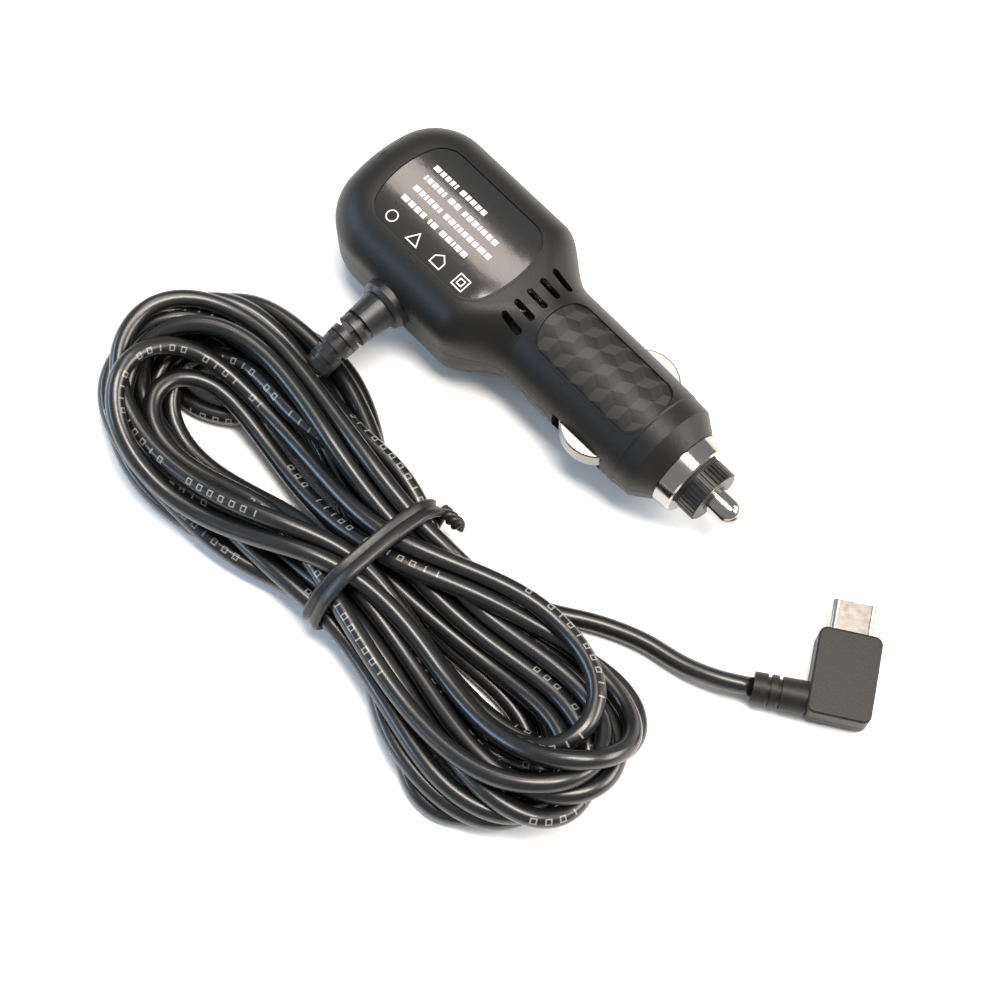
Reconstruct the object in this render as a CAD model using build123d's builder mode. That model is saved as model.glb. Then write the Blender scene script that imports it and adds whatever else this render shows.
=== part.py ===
"""Car power adapter: a 12 V accessory-socket plug, its cord wound as a tied hank, and a USB-C plug.

The adapter lies along +X, its sprung tip towards +X and its label upwards, on the plane z = 0.
All dimensions are in millimetres.
"""

import os
from math import cos, pi, radians, sin, sqrt, tan

from build123d import *

os.makedirs("parts", exist_ok=True)

# ---- Driving dimensions ----------------------------------------------------------------------

LENGTH = 99.0  # whole adapter, from the end of the head to the tip
AXIS_Z = 12.0  # height of the plug's axis above the surface it lies on
WALL = 1.8  # housing wall
FIT = 0.1  # gap round a piece that is fixed in a recess

HEAD_END_X = -LENGTH / 2
TIP_X = LENGTH / 2

HEAD_HALF = 16.8  # half the width of the head
HEAD_TOP = 2 * AXIS_Z
HEAD_SAG = 2.0  # how far the crowned top falls from its middle to its sides
HEAD_BULGE = 3.5  # how far the end of the head bows out
HEAD_CORNER = 12.0  # rounding of the head's corners, seen from above
HEAD_ROUND = 8.0  # rounding of the head's long edges
NECK_START_X = -13.0
NECK_END_X = -1.0
NECK_SECTIONS = 5

BARREL_R = 11.1  # at the neck
BARREL_MID_X = 12.0
BARREL_MID_R = 11.05
BARREL_STEP_X = 27.8
BARREL_STEP = 0.15
NOSE_R = 10.54  # where the cone starts
NOSE_X = 31.5
CONE_END_X = 35.3
CONE_END_R = 7.85
SPIGOT_R = 6.9
SPIGOT_END_X = 38.6
SPIGOT_BORE_R = 5.02

RING_END_X = 39.0
RING_END_R = 7.55
SEAL_T = 0.3
CAP_START_X = RING_END_X + SEAL_T + 0.04
CAP_END_X = 43.4
CAP_R = 5.56
CAP_BORE_R = 3.9
CAP_SHANK_R = 4.95
CAP_SHANK_X = 33.5
CAP_FRONT_WALL_X = 41.5
CAP_RIBS = 36
THREAD_PITCH = 1.0

PIN_R = 2.65
PIN_FLANGE_R = 3.6
FUSE_R = 2.6
FUSE_FRONT_X = 38.5
FUSE_LENGTH = 20.0
FUSE_CAP_LENGTH = 5.0
HOLDER_R = 4.6
HOLDER_BORE_R = 2.95
TERMINAL_X = 8.5
TERMINAL_T = 0.5
SPRING_R = 2.1
SPRING_WIRE_R = 0.25
SPRING_TURNS = 7

CONTACT_X = 18.8  # middle of the two side contacts
CONTACT_HALF = 5.5  # half their length along the barrel
CONTACT_OUT = 12.9  # how far they stand from the axis
CONTACT_HALF_Z = 2.0
CONTACT_SHEET = 0.5

LABEL_X = -25.2
LABEL_LENGTH = 31.5
LABEL_WIDTH = 20.4
LABEL_BULGE = 2.4
LABEL_CORNER = 5.0
LABEL_DEPTH = 0.6
LABEL_SUNK = 0.12
RIM_WIDTH = 0.45
RIM_HEIGHT = 0.12

GRIP_X = 13.9
GRIP_LENGTH = 27.4
GRIP_WIDTH = 12.6
GRIP_BULGE = 1.8
GRIP_CORNER = 3.2
GRIP_DEPTH = 0.7
GRIP_SUNK = 0.2

SLOT_X = -3.8
SLOT_LENGTH = 5.0
SLOT_WIDTH = 1.3
SLOT_PITCH = 3.2
SLOT_COUNT = 5

BOARD_Z = 8.4
BOARD_T = 1.2

SCREW_X = -43.9
SCREW_BOSS_R = 2.7
SCREW_R = 1.1

RELIEF_X = -26.5  # where the cord leaves the head, on its -Y side
RELIEF_COLLAR_R = 5.2
RELIEF_WAIST_R = 3.4
RELIEF_SEAT_Y = 16.05
RELIEF_BEND_R = 22.0
RELIEF_RIBS = 5
RELIEF_PITCH = 2.3

CORD_R = 1.75
TIE_X = 10.0

PLUG_X = 82.0
PLUG_Y = -4.9
PLUG_TURN = 124.5  # direction in which the plug points, in degrees from +X
PLUG_LENGTH = 16.4
PLUG_WIDTH = 11.6
PLUG_T = 7.1
USB_WIDTH = 8.34
USB_T = 2.56
USB_OUT = 6.3
PLUG_RELIEF_LENGTH = 9.7
PLUG_RELIEF_OFFSET = -4.9  # from the plug's middle towards its closed end


# ---- Shapes that more than one piece uses ----------------------------------------------------


def finish(part, name):
    """Label a finished piece and write it."""
    part.label = name
    export_step(part, f"parts/{name}.step")


def arched_outline(plane, x, length, width, bulge, corner, grow=0.0):
    """An oblong whose two short ends bow outwards and whose corners are rounded."""
    half_x = length / 2
    half_y = width / 2
    with BuildSketch(plane) as outline:
        with BuildLine():
            ThreePointArc((x + half_x - bulge, -half_y), (x + half_x, 0), (x + half_x - bulge, half_y))
            Line((x + half_x - bulge, half_y), (x - half_x + bulge, half_y))
            ThreePointArc((x - half_x + bulge, half_y), (x - half_x, 0), (x - half_x + bulge, -half_y))
            Line((x - half_x + bulge, -half_y), (x + half_x - bulge, -half_y))
        make_face()
        fillet(outline.vertices(), corner)
        if grow:
            offset(amount=grow)
    return outline.sketch


def barrel_form(inset):
    """The barrel and the cone in front of it, turned about the axis, inset all round."""
    with BuildPart() as turned:
        with BuildSketch(Plane(origin=(0, 0, AXIS_Z), x_dir=(1, 0, 0), z_dir=(0, -1, 0))):
            with BuildLine():
                step_r = NOSE_R + BARREL_STEP - inset
                Line((NECK_END_X, 0), (NECK_END_X, BARREL_R - inset))
                ThreePointArc(
                    (NECK_END_X, BARREL_R - inset),
                    (BARREL_MID_X, BARREL_MID_R - inset),
                    (BARREL_STEP_X, step_r + BARREL_STEP),
                )
                Line((BARREL_STEP_X, step_r + BARREL_STEP), (BARREL_STEP_X + 0.3, step_r))
                Line((BARREL_STEP_X + 0.3, step_r), (NOSE_X - inset / 2, NOSE_R - inset))
                Line((NOSE_X - inset / 2, NOSE_R - inset), (CONE_END_X - inset, CONE_END_R - inset / 2))
                Line((CONE_END_X - inset, CONE_END_R - inset / 2), (CONE_END_X - inset, 0))
                Line((CONE_END_X - inset, 0), (NECK_END_X, 0))
            make_face()
        revolve(axis=Axis((0, 0, AXIS_Z), (1, 0, 0)))
    return turned.part


def crown_drop(half, sag, reach, inset):
    """How far a crown lies below its middle at reach, if it sags by sag at half when it isn't inset."""
    crown_r = (half**2 + sag**2) / (2 * sag) - inset
    return crown_r - sqrt(crown_r**2 - reach**2)


def neck_form(inset):
    """The neck, which runs from the head's rounded oblong to the barrel's circle."""
    with BuildPart() as neck:
        for step in range(NECK_SECTIONS + 1):
            t = step / NECK_SECTIONS
            ease = t * t * (3 - 2 * t)
            outer_half = HEAD_HALF + (BARREL_R - HEAD_HALF) * ease
            half = outer_half - inset
            top = HEAD_TOP + (AXIS_Z + BARREL_R - HEAD_TOP) * ease - inset
            bottom = (AXIS_Z - BARREL_R) * ease + inset
            sag = crown_drop(outer_half, HEAD_SAG * (1 - 0.99 * ease), half, inset)
            rounding = HEAD_ROUND + (BARREL_R - 0.1 - HEAD_ROUND) * ease - inset
            x = NECK_START_X + (NECK_END_X - NECK_START_X) * t
            with BuildSketch(Plane(origin=(x, 0, 0), x_dir=(0, 1, 0), z_dir=(1, 0, 0))) as section:
                with BuildLine():
                    Line((-half, bottom), (half, bottom))
                    Line((half, bottom), (half, top - sag))
                    ThreePointArc((half, top - sag), (0, top), (-half, top - sag))
                    Line((-half, top - sag), (-half, bottom))
                make_face()
                fillet(section.vertices(), rounding)
        loft()
    return neck.part


def head_form(inset):
    """The head, a crowned oblong with a bowed end and well rounded edges."""
    with BuildPart() as head:
        with BuildSketch(Plane.XY.offset(inset)) as plan:
            with BuildLine():
                side_x = HEAD_END_X + HEAD_BULGE
                Line((NECK_START_X + inset, -HEAD_HALF), (NECK_START_X + inset, HEAD_HALF))
                Line((NECK_START_X + inset, HEAD_HALF), (side_x, HEAD_HALF))
                ThreePointArc((side_x, HEAD_HALF), (HEAD_END_X, 0), (side_x, -HEAD_HALF))
                Line((side_x, -HEAD_HALF), (NECK_START_X + inset, -HEAD_HALF))
            make_face()
            fillet(plan.vertices().group_by(Axis.X)[0], HEAD_CORNER)
            if inset:
                offset(amount=-inset)
        extrude(amount=HEAD_TOP)
        with BuildSketch(Plane(origin=(HEAD_END_X - 1, 0, 0), x_dir=(0, 1, 0), z_dir=(1, 0, 0))):
            with BuildLine():
                wide = HEAD_HALF + 3
                low = HEAD_TOP - inset - crown_drop(HEAD_HALF, HEAD_SAG, wide, inset)
                Line((-wide, -1), (wide, -1))
                Line((wide, -1), (wide, low))
                ThreePointArc((wide, low), (0, HEAD_TOP - inset), (-wide, low))
                Line((-wide, low), (-wide, -1))
            make_face()
        extrude(amount=LENGTH, mode=Mode.INTERSECT)
        neck_face = head.faces().sort_by(Axis.X)[-1]
        bottom_edges = head.faces().sort_by(Axis.Z)[0].edges()
        top_edges = head.faces().sort_by(Axis.Z)[-1].edges()
        long_edges = [edge for edge in bottom_edges + top_edges if edge not in neck_face.edges()]
        fillet(long_edges, HEAD_ROUND - inset)
    return head.part


def housing(inset):
    """The whole outer form of head, neck and barrel, inset all round."""
    with BuildPart() as form:
        add(head_form(inset))
        add(neck_form(inset))
        add(barrel_form(inset))
    return form.part


def axial(x):
    """The plane square to the plug's axis at x, facing the tip, with its own x along +Y."""
    return Plane(origin=(x, 0, AXIS_Z), x_dir=(0, 1, 0), z_dir=(1, 0, 0))


def side_plane(y):
    """The plane square to the cord's way out, y from the middle on the -Y side."""
    return Plane(origin=(RELIEF_X, -y, AXIS_Z), x_dir=(1, 0, 0), z_dir=(0, -1, 0))


def prism(outline, height):
    """An outline drawn out upwards, as a cutting or bounding solid."""
    with BuildPart() as column:
        add(outline)
        extrude(amount=height)
    return column.part


def turned_ring(outer_r, inner_r, start_x, end_x):
    """A plain ring about the plug's axis."""
    with BuildPart() as ring:
        with BuildSketch(axial(start_x)):
            Circle(outer_r)
            if inner_r:
                Circle(inner_r, mode=Mode.SUBTRACT)
        extrude(amount=end_x - start_x)
    return ring.part


def cord_tube(points):
    """A round cord along straight runs joined by the largest tangent arcs that the runs allow."""
    corners = [Vector(*point) for point in points]
    radii = []
    for before, here, after in zip(corners, corners[1:], corners[2:]):
        turn = radians((here - before).get_angle(after - here))
        shorter = min((here - before).length, (after - here).length)
        radii.append(0.45 * shorter / tan(turn / 2))
    print("arc radii", [round(radius, 1) for radius in radii])
    with BuildPart() as tube:
        with BuildLine() as route:
            FilletPolyline(*points, radius=radii)
        with BuildSketch(Plane(origin=corners[0], z_dir=(corners[1] - corners[0]).normalized())):
            Circle(CORD_R)
        sweep(path=route.wires()[0])
    print("cord length", round(route.wires()[0].length, 1), "volume ratio",
          round(tube.part.volume / (pi * CORD_R**2 * route.wires()[0].length), 4))
    return tube.part


# ---- The two housing shells ------------------------------------------------------------------

TRIM_Z = AXIS_Z + 5  # where the upright outlines of label and inlay start
TRIM_HEIGHT = 10.0


def label_outline(grow):
    """The label's outline, grown all round."""
    plane = Plane.XY.offset(TRIM_Z)
    return arched_outline(plane, LABEL_X, LABEL_LENGTH, LABEL_WIDTH, LABEL_BULGE, LABEL_CORNER, grow)


def grip_outline(grow):
    """The grip inlay's outline, grown all round."""
    plane = Plane.XY.offset(TRIM_Z)
    return arched_outline(plane, GRIP_X, GRIP_LENGTH, GRIP_WIDTH, GRIP_BULGE, GRIP_CORNER, grow)


with BuildPart() as label_rim:
    add(prism(label_outline(FIT + RIM_WIDTH), TRIM_HEIGHT))
    add(Pos(0, 0, RIM_HEIGHT) * housing(0.0), mode=Mode.INTERSECT)

with BuildPart() as grip_rim:
    add(prism(grip_outline(FIT + RIM_WIDTH), TRIM_HEIGHT))
    add(Pos(0, 0, RIM_HEIGHT) * barrel_form(0.0), mode=Mode.INTERSECT)

with BuildPart() as label_recess:
    add(prism(label_outline(FIT), TRIM_HEIGHT))
    add(housing(LABEL_DEPTH), mode=Mode.SUBTRACT)

with BuildPart() as grip_recess:
    add(prism(grip_outline(FIT), TRIM_HEIGHT))
    add(barrel_form(GRIP_DEPTH), mode=Mode.SUBTRACT)

BOSS_FLOOR_Z = 1.2
BOSS_TOP_Z = HEAD_TOP - 1.6
SCREW_HEAD_Z = 2.6
SCREW_HEAD_R = 2.0
POST_R = 1.5
POSTS = [(-36.0, 9.5), (-36.0, -9.5), (-17.0, 9.5), (-17.0, -9.5)]
BULKHEADS_X = [10.0, 27.0]
BULKHEAD_T = 1.2

with BuildPart() as casing:
    add(housing(0.0))
    add(turned_ring(SPIGOT_R, 0, CONE_END_X - 1, SPIGOT_END_X))
    add(label_rim.part)
    add(grip_rim.part)
    add(housing(WALL), mode=Mode.SUBTRACT)
    add(label_recess.part, mode=Mode.SUBTRACT)
    add(grip_recess.part, mode=Mode.SUBTRACT)
    # bore for the cap's thread
    add(turned_ring(SPIGOT_BORE_R, 0, CONE_END_X - 4, SPIGOT_END_X + 1), mode=Mode.SUBTRACT)
    # vent slots across the top of the neck
    with BuildSketch(Plane.XY.offset(AXIS_Z + 4)):
        with Locations((SLOT_X, 0)):
            with GridLocations(SLOT_PITCH, SLOT_PITCH, 1, SLOT_COUNT):
                SlotOverall(SLOT_LENGTH, SLOT_WIDTH)
    extrude(amount=AXIS_Z, mode=Mode.SUBTRACT)
    # windows for the side contacts, longer towards the head
    with Locations((CONTACT_X - 0.4, 0, AXIS_Z)):
        Box(2 * CONTACT_HALF + 1.6, 2 * CONTACT_OUT + 2, 2 * CONTACT_HALF_Z + 0.6, mode=Mode.SUBTRACT)
    # the cord's way out and the seat of its collar
    with BuildSketch(side_plane(HEAD_HALF - WALL - 1)):
        Circle(RELIEF_WAIST_R + 0.05)
    extrude(amount=WALL + 2, mode=Mode.SUBTRACT)
    with BuildSketch(side_plane(RELIEF_SEAT_Y)):
        Circle(RELIEF_COLLAR_R + FIT)
    extrude(amount=WALL, mode=Mode.SUBTRACT)
    # screw boss, with the screw's hole and the seat of its head
    with BuildSketch(Plane.XY.offset(BOSS_FLOOR_Z)):
        with Locations((SCREW_X, 0)):
            Circle(SCREW_BOSS_R)
    extrude(amount=BOSS_TOP_Z - BOSS_FLOOR_Z)
    with BuildSketch(Plane.XY):
        with Locations((SCREW_X, 0)):
            Circle(SCREW_R + FIT)
    extrude(amount=19, mode=Mode.SUBTRACT)
    with BuildSketch(Plane.XY):
        with Locations((SCREW_X, 0)):
            Circle(SCREW_HEAD_R + FIT)
    extrude(amount=SCREW_HEAD_Z, mode=Mode.SUBTRACT)
    # posts under the circuit board
    with BuildSketch(Plane.XY.offset(BOSS_FLOOR_Z)):
        with Locations(*POSTS):
            Circle(POST_R)
    extrude(amount=BOARD_Z - BOSS_FLOOR_Z)

with BuildPart() as bulkhead_rings:
    for bulkhead_x in BULKHEADS_X:
        add(turned_ring(BARREL_R - WALL / 2 - 0.3, HOLDER_R + 0.05, bulkhead_x, bulkhead_x + BULKHEAD_T))

SEAM = 0.1

with BuildPart() as upper_shell:
    add(casing.part)
    add(bulkhead_rings.part)
    split(bisect_by=Plane.XY.offset(AXIS_Z + SEAM / 2), keep=Keep.TOP)

with BuildPart() as lower_shell:
    add(casing.part)
    add(bulkhead_rings.part)
    split(bisect_by=Plane.XY.offset(AXIS_Z - SEAM / 2), keep=Keep.BOTTOM)

finish(upper_shell.part, "upper_shell")
finish(lower_shell.part, "lower_shell")

with BuildPart() as shell_screw:
    with BuildSketch(Plane.XY.offset(SCREW_HEAD_Z - 1.5)):
        with Locations((SCREW_X, 0)):
            Circle(SCREW_HEAD_R)
    extrude(amount=1.5)
    with BuildSketch(Plane.XY.offset(SCREW_HEAD_Z)):
        with Locations((SCREW_X, 0)):
            Circle(SCREW_R)
    extrude(amount=14)
    with BuildSketch(Plane.XY.offset(SCREW_HEAD_Z - 1.5)):
        with Locations((SCREW_X, 0)):
            Rectangle(2.2, 0.5)
            Rectangle(0.5, 2.2)
    extrude(amount=0.9, mode=Mode.SUBTRACT)
finish(shell_screw.part, "shell_screw")

# ---- Rating label and grip inlay, each let into its recess -----------------------------------

with BuildPart() as rating_label:
    add(prism(label_outline(0), TRIM_HEIGHT))
    add(housing(LABEL_SUNK), mode=Mode.INTERSECT)
    add(housing(LABEL_DEPTH), mode=Mode.SUBTRACT)
finish(rating_label.part, "rating_label")

with BuildPart() as grip_inlay:
    add(prism(grip_outline(0), TRIM_HEIGHT))
    add(barrel_form(GRIP_SUNK), mode=Mode.INTERSECT)
    add(barrel_form(GRIP_DEPTH), mode=Mode.SUBTRACT)
finish(grip_inlay.part, "grip_inlay")

# ---- Nose: retaining ring, seal, screw cap and sprung pin ------------------------------------

nose_profile = Plane(origin=(0, 0, AXIS_Z), x_dir=(1, 0, 0), z_dir=(0, -1, 0))
nose_axis = Axis((0, 0, AXIS_Z), (1, 0, 0))

with BuildPart() as retaining_ring:
    with BuildSketch(nose_profile):
        with BuildLine():
            Polyline(
                (CONE_END_X + 0.05, SPIGOT_R + 0.05),
                (CONE_END_X + 0.05, CONE_END_R - 0.12),
                (CONE_END_X + 0.15, CONE_END_R - 0.02),
                (RING_END_X - 0.3, RING_END_R),
                (RING_END_X, RING_END_R - 0.3),
                (RING_END_X, SPIGOT_BORE_R + 0.08),
                (SPIGOT_END_X + 0.05, SPIGOT_BORE_R + 0.08),
                (SPIGOT_END_X + 0.05, SPIGOT_R + 0.05),
                close=True,
            )
        make_face()
    revolve(axis=nose_axis)
finish(retaining_ring.part, "retaining_ring")

seal_r = SPIGOT_BORE_R - 0.01
finish(turned_ring(seal_r + 0.4, seal_r, RING_END_X + 0.01, RING_END_X + SEAL_T), "cap_seal")

with BuildPart() as tip_cap:
    with BuildSketch(axial(CAP_START_X + 0.25)):
        with BuildLine():
            step_angle = 2 * pi / CAP_RIBS
            rib_points = []
            for rib in range(CAP_RIBS):
                for share, radius in ((0.0, CAP_R), (0.45, CAP_R), (0.6, CAP_R - 0.32), (0.85, CAP_R - 0.32)):
                    angle = (rib + share) * step_angle
                    rib_points.append((radius * cos(angle), radius * sin(angle)))
            Polyline(*rib_points, close=True)
        make_face()
    extrude(amount=CAP_END_X - CAP_START_X - 0.5)
    add(turned_ring(CAP_R - 0.3, 0, CAP_START_X, CAP_END_X))
    thread_count = int((CAP_START_X - CAP_SHANK_X) / THREAD_PITCH)
    add(turned_ring(CAP_SHANK_R - 0.35, 0, CAP_SHANK_X, CAP_START_X + 0.5))
    for turn in range(thread_count):
        thread_x = CAP_SHANK_X + 0.2 + turn * THREAD_PITCH
        add(turned_ring(CAP_SHANK_R, 0, thread_x, thread_x + 0.5 * THREAD_PITCH))
    add(turned_ring(CAP_BORE_R, 0, CAP_SHANK_X, CAP_FRONT_WALL_X), mode=Mode.SUBTRACT)
    add(turned_ring(PIN_R + 0.08, 0, CAP_FRONT_WALL_X - 1, CAP_END_X + 1), mode=Mode.SUBTRACT)
finish(tip_cap.part, "tip_cap")

with BuildPart() as tip_pin:
    with BuildSketch(nose_profile):
        with BuildLine():
            dome_x = TIP_X - PIN_R
            flange_x = CAP_FRONT_WALL_X - 0.08
            Polyline(
                (dome_x, PIN_R),
                (flange_x, PIN_R),
                (flange_x, PIN_FLANGE_R),
                (flange_x - 0.8, PIN_FLANGE_R),
                (flange_x - 0.8, PIN_R - 0.3),
                (FUSE_FRONT_X, PIN_R - 0.3),
                (FUSE_FRONT_X, 0),
                (TIP_X, 0),
            )
            ThreePointArc((TIP_X, 0), (dome_x + PIN_R * cos(pi / 4), PIN_R * sin(pi / 4)), (dome_x, PIN_R))
        make_face()
    revolve(axis=nose_axis)
finish(tip_pin.part, "tip_pin")

# ---- Fuse, its spring and the terminal behind it ---------------------------------------------

fuse_back_x = FUSE_FRONT_X - FUSE_LENGTH
glass_r = FUSE_R - 0.3

with BuildPart() as fuse_cap_front:
    cap_rim_x = FUSE_FRONT_X - FUSE_CAP_LENGTH
    add(turned_ring(FUSE_R, 0, cap_rim_x, FUSE_FRONT_X))
    add(turned_ring(glass_r + 0.02, 0, cap_rim_x, FUSE_FRONT_X - 0.4), mode=Mode.SUBTRACT)
    fillet(fuse_cap_front.edges().group_by(Axis.X)[-1], 0.3)
finish(fuse_cap_front.part, "fuse_cap_front")

with BuildPart() as fuse_cap_rear:
    add(turned_ring(FUSE_R, 0, fuse_back_x, fuse_back_x + FUSE_CAP_LENGTH))
    add(turned_ring(glass_r + 0.02, 0, fuse_back_x + 0.4, fuse_back_x + FUSE_CAP_LENGTH), mode=Mode.SUBTRACT)
    fillet(fuse_cap_rear.edges().group_by(Axis.X)[0], 0.3)
finish(fuse_cap_rear.part, "fuse_cap_rear")

finish(turned_ring(glass_r, glass_r - 0.5, fuse_back_x + 0.45, FUSE_FRONT_X - 0.45), "fuse_glass")
finish(turned_ring(0.12, 0, fuse_back_x + 0.4, FUSE_FRONT_X - 0.4), "fuse_wire")
finish(turned_ring(HOLDER_R, HOLDER_BORE_R, TERMINAL_X + TERMINAL_T, CAP_SHANK_X - 0.5), "fuse_holder")

with BuildPart() as tip_spring:
    spring_start = TERMINAL_X + TERMINAL_T + SPRING_WIRE_R + 0.02
    spring_length = fuse_back_x - spring_start - SPRING_WIRE_R - 0.02
    with BuildLine() as spring_line:
        Helix(
            pitch=spring_length / SPRING_TURNS,
            height=spring_length,
            radius=SPRING_R,
            center=(spring_start, 0, AXIS_Z),
            direction=(1, 0, 0),
        )
    with BuildSketch(Plane(origin=spring_line.line @ 0, z_dir=spring_line.line % 0)):
        Circle(SPRING_WIRE_R)
    sweep(is_frenet=True)
finish(tip_spring.part, "tip_spring")

with BuildPart() as spring_terminal:
    add(turned_ring(HOLDER_R - 0.6, 0, TERMINAL_X, TERMINAL_X + TERMINAL_T))
    with Locations((TERMINAL_X + TERMINAL_T / 2, 0, BOARD_Z + BOARD_T / 2)):
        Box(TERMINAL_T, 3.0, BOARD_T + 2.4)
finish(spring_terminal.part, "spring_terminal")

# ---- Side contacts: pressed shoes, each pushed out through its window by a bowed strip -------

SHOE_FOOT = 7.7
SHOE_FOOT_T = 0.5
SHOE_SHOULDER = 10.3
BOW_FOOT = HOLDER_R + 0.2
BOW_T = 0.2

for side, name in ((-1, "right"), (1, "left")):
    with BuildPart() as side_contact:
        for shrink, half_z, mode in ((0.0, CONTACT_HALF_Z, Mode.ADD), (CONTACT_SHEET, 1.5, Mode.SUBTRACT)):
            with BuildSketch(Plane.XY.offset(AXIS_Z - half_z)):
                with BuildLine():
                    near = side * (SHOE_FOOT - (0.1 if shrink else 0.0))
                    shoulder = side * (SHOE_SHOULDER - shrink)
                    low_x = CONTACT_X - CONTACT_HALF + shrink
                    high_x = CONTACT_X + CONTACT_HALF - shrink
                    Line((high_x, near), (low_x, near))
                    Line((low_x, near), (low_x, shoulder))
                    ThreePointArc(
                        (low_x, shoulder), (CONTACT_X, side * (CONTACT_OUT - shrink)), (high_x, shoulder)
                    )
                    Line((high_x, shoulder), (high_x, near))
                make_face()
            extrude(amount=2 * half_z, mode=mode)
            if mode == Mode.ADD:
                top_rims = side_contact.edges().filter_by(GeomType.CIRCLE)
                fillet(top_rims, 0.35)
        with Locations((CONTACT_X, side * (SHOE_FOOT + SHOE_FOOT_T / 2), AXIS_Z)):
            Box(2 * CONTACT_HALF + 2.0, SHOE_FOOT_T, 2 * CONTACT_HALF_Z + 1.6)
            Box(2 * CONTACT_HALF - 1.0, SHOE_FOOT_T, 2 * CONTACT_HALF_Z - 1.0, mode=Mode.SUBTRACT)
    finish(side_contact.part, f"side_contact_{name}")

    with BuildPart() as contact_spring:
        with BuildSketch(Plane.XY.offset(AXIS_Z - 1.4)):
            with BuildLine():
                foot = side * BOW_FOOT
                crest = side * (SHOE_FOOT - 0.1)
                Line((CONTACT_X - CONTACT_HALF, foot), (CONTACT_X - CONTACT_HALF, foot + side * BOW_T))
                ThreePointArc(
                    (CONTACT_X - CONTACT_HALF, foot + side * BOW_T),
                    (CONTACT_X, crest),
                    (CONTACT_X + CONTACT_HALF, foot + side * BOW_T),
                )
                Line((CONTACT_X + CONTACT_HALF, foot + side * BOW_T), (CONTACT_X + CONTACT_HALF, foot))
                ThreePointArc(
                    (CONTACT_X + CONTACT_HALF, foot),
                    (CONTACT_X, crest - side * BOW_T),
                    (CONTACT_X - CONTACT_HALF, foot),
                )
            make_face()
        extrude(amount=2.8)
    finish(contact_spring.part, f"contact_spring_{name}")

# ---- Circuit board and what is soldered to it ------------------------------------------------

board_top = BOARD_Z + BOARD_T
BOARD_BACK_X = -41.2
BOARD_WIDE_X = -12.0  # where the board narrows for the neck
BOARD_FRONT_X = 8.4
BOARD_WIDTH = 25.0
BOARD_TONGUE = 12.0

with BuildPart() as circuit_board:
    with BuildSketch(Plane.XY.offset(BOARD_Z)):
        with Locations(((BOARD_BACK_X + BOARD_WIDE_X) / 2, 0)):
            RectangleRounded(BOARD_WIDE_X - BOARD_BACK_X, BOARD_WIDTH, 2.0)
        with Locations(((BOARD_WIDE_X + BOARD_FRONT_X) / 2 - 0.5, 0)):
            Rectangle(BOARD_FRONT_X - BOARD_WIDE_X + 1.0, BOARD_TONGUE)
    extrude(amount=BOARD_T)
    with BuildSketch(Plane.XY.offset(BOARD_Z)):
        with Locations((TERMINAL_X + TERMINAL_T / 2, 0)):
            Rectangle(TERMINAL_T + 0.2, 3.2)
    extrude(amount=BOARD_T, mode=Mode.SUBTRACT)
finish(circuit_board.part, "circuit_board")

INDUCTOR = (-29.0, 5.0)
CORE_R = 5.0
CORE_NECK_R = 2.4
CORE_FLANGE_T = 1.2
WINDING_T = 5.0
WINDING_TURNS = 7

with BuildPart() as inductor_core:
    for core_z, core_r, core_t in (
        (board_top, CORE_R, CORE_FLANGE_T),
        (board_top + CORE_FLANGE_T, CORE_NECK_R, WINDING_T),
        (board_top + CORE_FLANGE_T + WINDING_T, CORE_R, CORE_FLANGE_T),
    ):
        with BuildSketch(Plane.XY.offset(core_z)):
            with Locations(INDUCTOR):
                Circle(core_r)
        extrude(amount=core_t)
finish(inductor_core.part, "inductor_core")

with BuildPart() as inductor_winding:
    turn_t = (WINDING_T - 0.1) / WINDING_TURNS
    for turn in range(WINDING_TURNS):
        turn_z = board_top + CORE_FLANGE_T + 0.05 + turn * turn_t
        for turn_r, height in ((CORE_R - 0.7, 0.62), (CORE_R - 0.9, turn_t)):
            with BuildSketch(Plane.XY.offset(turn_z)):
                with Locations(INDUCTOR):
                    Circle(turn_r)
                    Circle(CORE_NECK_R + 0.05, mode=Mode.SUBTRACT)
            extrude(amount=height)
finish(inductor_winding.part, "inductor_winding")

for name, place, radius, height in (
    ("input_capacitor", (-8.0, 0.0), 4.0, 10.0),
    ("output_capacitor", (-19.0, 7.0), 3.15, 8.5),
):
    with BuildPart() as capacitor:
        with BuildSketch(Plane.XY.offset(board_top)):
            with Locations(place):
                Circle(radius)
        extrude(amount=height)
        fillet(capacitor.edges().group_by(Axis.Z)[-1], 0.4)
        fillet(capacitor.edges().group_by(Axis.Z)[0], 0.3)
    finish(capacitor.part, name)

CHIP = (-38.0, -5.0)
LEG_PITCH = 1.27
with BuildPart() as converter_chip:
    with Locations((CHIP[0], CHIP[1], board_top + 0.85)):
        Box(4.9, 3.9, 1.5)
    with Locations((CHIP[0], CHIP[1], board_top + 0.35)):
        with GridLocations(LEG_PITCH, 4.9, 4, 2):
            Box(0.42, 1.1, 0.7)
finish(converter_chip.part, "converter_chip")

CHIP_PARTS = [(-33.5, -8.5), (-33.0, -5.5), (-20.5, -3.0), (-18.0, -3.0), (1.5, 3.0), (1.5, -3.0)]
with BuildPart() as chip_parts:
    for part_x, part_y in CHIP_PARTS:
        with Locations((part_x, part_y, board_top + 0.3)):
            Box(2.0, 1.25, 0.6)
finish(chip_parts.part, "chip_parts")

# ---- Strain relief, which droops a little under the cord's weight ----------------------------

RELIEF_INNER_Y = 13.3
RELIEF_COLLAR_Y = 19.0
RELIEF_START_Y = -24.0
RELIEF_RIB_T = 1.3
relief_length = RELIEF_RIBS * RELIEF_PITCH + 0.4


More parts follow.
